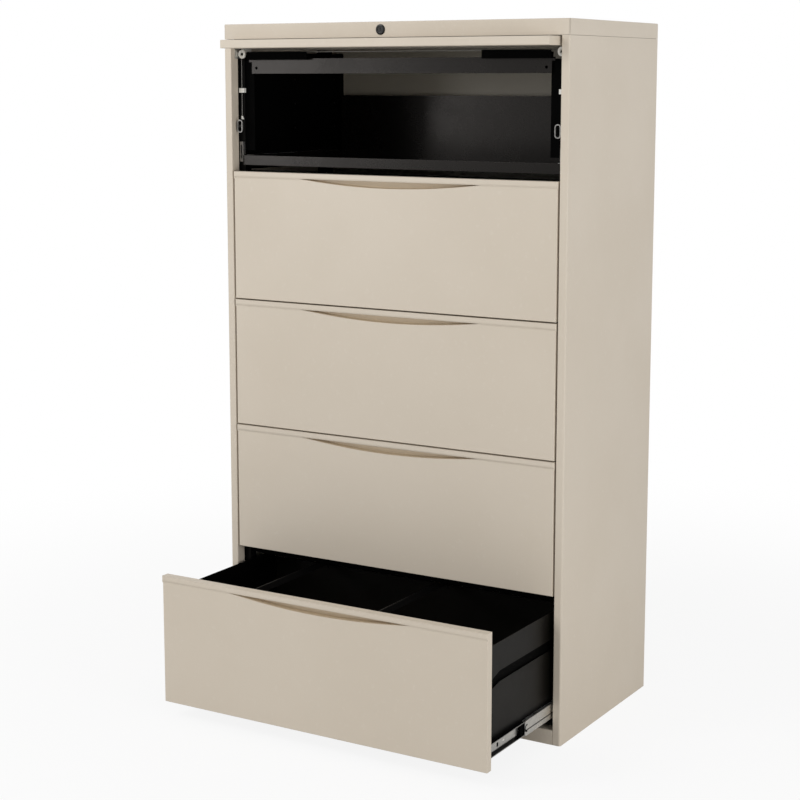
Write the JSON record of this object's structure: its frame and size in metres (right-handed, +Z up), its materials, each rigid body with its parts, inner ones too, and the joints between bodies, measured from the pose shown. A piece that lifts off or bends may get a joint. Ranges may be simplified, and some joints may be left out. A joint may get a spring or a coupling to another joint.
{
  "type": "lateral filing cabinet",
  "caption": "Tall lateral filing cabinet in painted steel: flip-up receding door over a roll-out shelf, stacked drawers with full-width pull lips and hang rails, key lock, lowest drawer open",
  "frame": {"origin": "on the floor, under the centre of the case's footprint, on the underside of the base's centre channel", "axes": "+X to the cabinet's right as seen from the front, +Y to the rear, +Z up; the drawers open towards -Y"},
  "size_m": [0.9144, 0.7873, 1.625],
  "materials": {
    "body_paint": "beige powder coat, fine texture, satin",
    "inner_paint": "black enamel, satin",
    "zinc": "bright zinc plating, slightly brushed",
    "white_nylon": "natural white nylon",
    "lock_metal": "black-nickel lock face"
  },
  "bodies": {
    "case": {"side_panel_left": "body_paint", "side_panel_right": "body_paint", "top_cap": "body_paint", "back_panel": "body_paint", "base_front_rail": "body_paint", "base_rear_rail": "inner_paint", "base_center_channel": "inner_paint", "counterweight": "inner_paint", "glide_plates": "inner_paint", "leveling_glides": "zinc", "front_uprights": "inner_paint", "rear_uprights": "inner_paint", "bay_rails": "inner_paint", "case_screws": "zinc", "slide_cabinet_members": "zinc", "compartment_sides": "inner_paint", "door_tracks": "zinc", "door_glides": "white_nylon", "door_cross_bar": "inner_paint", "pulley_brackets": "inner_paint", "equaliser_wire": "zinc", "wire_clips": "white_nylon", "door_guide_loops": "zinc", "door_strikes": "zinc", "lock_housing": "lock_metal", "lock_guides": "zinc"},
    "door": {"door_panel": "body_paint", "door_hinge_brackets": "zinc", "door_axles": "zinc"},
    "door_roller_pair": {"door_rollers": "white_nylon"},
    "pulley_left": {"cable_pulley_left": "white_nylon"},
    "pulley_right": {"cable_pulley_right": "white_nylon"},
    "lock_core": {"lock_plug": "lock_metal", "lock_cam": "zinc"},
    "lock_cross_rod": {"lock_rod": "zinc"},
    "lock_bell_crank": {"lock_crank": "zinc"},
    "lock_lug_bar": {"lock_bar": "zinc"},
    "shelf": {"shelf_tray": "inner_paint", "shelf_slide_inners": "zinc"},
    "shelf_middle": {"shelf_slide_middles": "zinc"},
    "drawer_1": {"drawer_1_front": "body_paint", "drawer_1_tray": "inner_paint", "drawer_1_hang_rails": "inner_paint", "drawer_1_slide_inners": "zinc"},
    "drawer_1_middle": {"drawer_1_slide_middles": "zinc"},
    "drawer_2": {"drawer_2_front": "body_paint", "drawer_2_tray": "inner_paint", "drawer_2_hang_rails": "inner_paint", "drawer_2_slide_inners": "zinc"},
    "drawer_2_middle": {"drawer_2_slide_middles": "zinc"},
    "drawer_3": {"drawer_3_front": "body_paint", "drawer_3_tray": "inner_paint", "drawer_3_hang_rails": "inner_paint", "drawer_3_slide_inners": "zinc"},
    "drawer_3_middle": {"drawer_3_slide_middles": "zinc"},
    "drawer_4": {"drawer_4_front": "body_paint", "drawer_4_tray": "inner_paint", "drawer_4_hang_rails": "inner_paint", "drawer_4_slide_inners": "zinc"},
    "drawer_4_middle": {"drawer_4_slide_middles": "zinc"}
  },
  "joints": [
    {"name": "drawer_1_slide", "type": "slide", "parent": "case", "child": "drawer_1", "axis": [0, -1, 0], "range_m": [0, 0.4]},
    {"name": "drawer_1_middle_slide", "type": "slide", "parent": "case", "child": "drawer_1_middle", "axis": [0, -1, 0], "range_m": [0, 0.2]},
    {"name": "drawer_2_slide", "type": "slide", "parent": "case", "child": "drawer_2", "axis": [0, -1, 0], "range_m": [0, 0.4]},
    {"name": "drawer_2_middle_slide", "type": "slide", "parent": "case", "child": "drawer_2_middle", "axis": [0, -1, 0], "range_m": [0, 0.2]},
    {"name": "drawer_3_slide", "type": "slide", "parent": "case", "child": "drawer_3", "axis": [0, -1, 0], "range_m": [0, 0.4]},
    {"name": "drawer_3_middle_slide", "type": "slide", "parent": "case", "child": "drawer_3_middle", "axis": [0, -1, 0], "range_m": [0, 0.2]},
    {"name": "drawer_4_slide", "type": "slide", "parent": "case", "child": "drawer_4", "axis": [0, -1, 0], "range_m": [-0.305, 0.095]},
    {"name": "drawer_4_middle_slide", "type": "slide", "parent": "case", "child": "drawer_4_middle", "axis": [0, -1, 0], "range_m": [-0.1525, 0.0475]},
    {"name": "shelf_slide", "type": "slide", "parent": "case", "child": "shelf", "axis": [0, -1, 0], "range_m": [0, 0.3]},
    {"name": "shelf_middle_slide", "type": "slide", "parent": "case", "child": "shelf_middle", "axis": [0, -1, 0], "range_m": [0, 0.15]},
    {"name": "door_slide", "type": "slide", "parent": "case", "child": "door", "axis": [0, -1, 0], "range_m": [0, 0.2335]},
    {"name": "door_roller_spin", "type": "hinge", "parent": "door", "child": "door_roller_pair", "pos_m": [0, 0.0309, 1.57775], "axis": [1, 0, 0], "continuous": true},
    {"name": "pulley_left_spin", "type": "hinge", "parent": "case", "child": "pulley_left", "pos_m": [-0.425, -0.2086, 1.555], "axis": [0, 1, 0], "continuous": true},
    {"name": "pulley_right_spin", "type": "hinge", "parent": "case", "child": "pulley_right", "pos_m": [0.425, -0.2086, 1.555], "axis": [0, 1, 0], "continuous": true},
    {"name": "lock_turn", "type": "hinge", "parent": "case", "child": "lock_core", "pos_m": [-0.0175, -0.225, 1.607], "axis": [0, 1, 0], "range_deg": [0, 90]},
    {"name": "lock_rod_slide", "type": "slide", "parent": "case", "child": "lock_cross_rod", "axis": [1, 0, 0], "range_m": [0, 0.0142]},
    {"name": "lock_crank_turn", "type": "hinge", "parent": "case", "child": "lock_bell_crank", "pos_m": [-0.434, -0.203, 1.602], "axis": [0, 1, 0], "range_deg": [0, 66]},
    {"name": "lock_bar_slide", "type": "slide", "parent": "case", "child": "lock_lug_bar", "axis": [0, 0, 1], "range_m": [0, 0.01414]}
  ],
  "couplings": [
    {"joint": "drawer_1_middle_slide", "follows": "drawer_1_slide", "ratio": 0.5},
    {"joint": "drawer_2_middle_slide", "follows": "drawer_2_slide", "ratio": 0.5},
    {"joint": "drawer_3_middle_slide", "follows": "drawer_3_slide", "ratio": 0.5},
    {"joint": "drawer_4_middle_slide", "follows": "drawer_4_slide", "ratio": 0.5},
    {"joint": "shelf_middle_slide", "follows": "shelf_slide", "ratio": 0.5},
    {"joint": "door_roller_spin", "follows": "door_slide", "rad_per_m": 125},
    {"joint": "lock_rod_slide", "follows": "lock_bar_slide", "ratio": 1},
    {"joint": "lock_crank_turn", "follows": "lock_bar_slide", "rad_per_m": 81.327},
    {"joint": "lock_turn", "follows": "lock_bar_slide", "rad_per_m": 111.07}
  ]
}
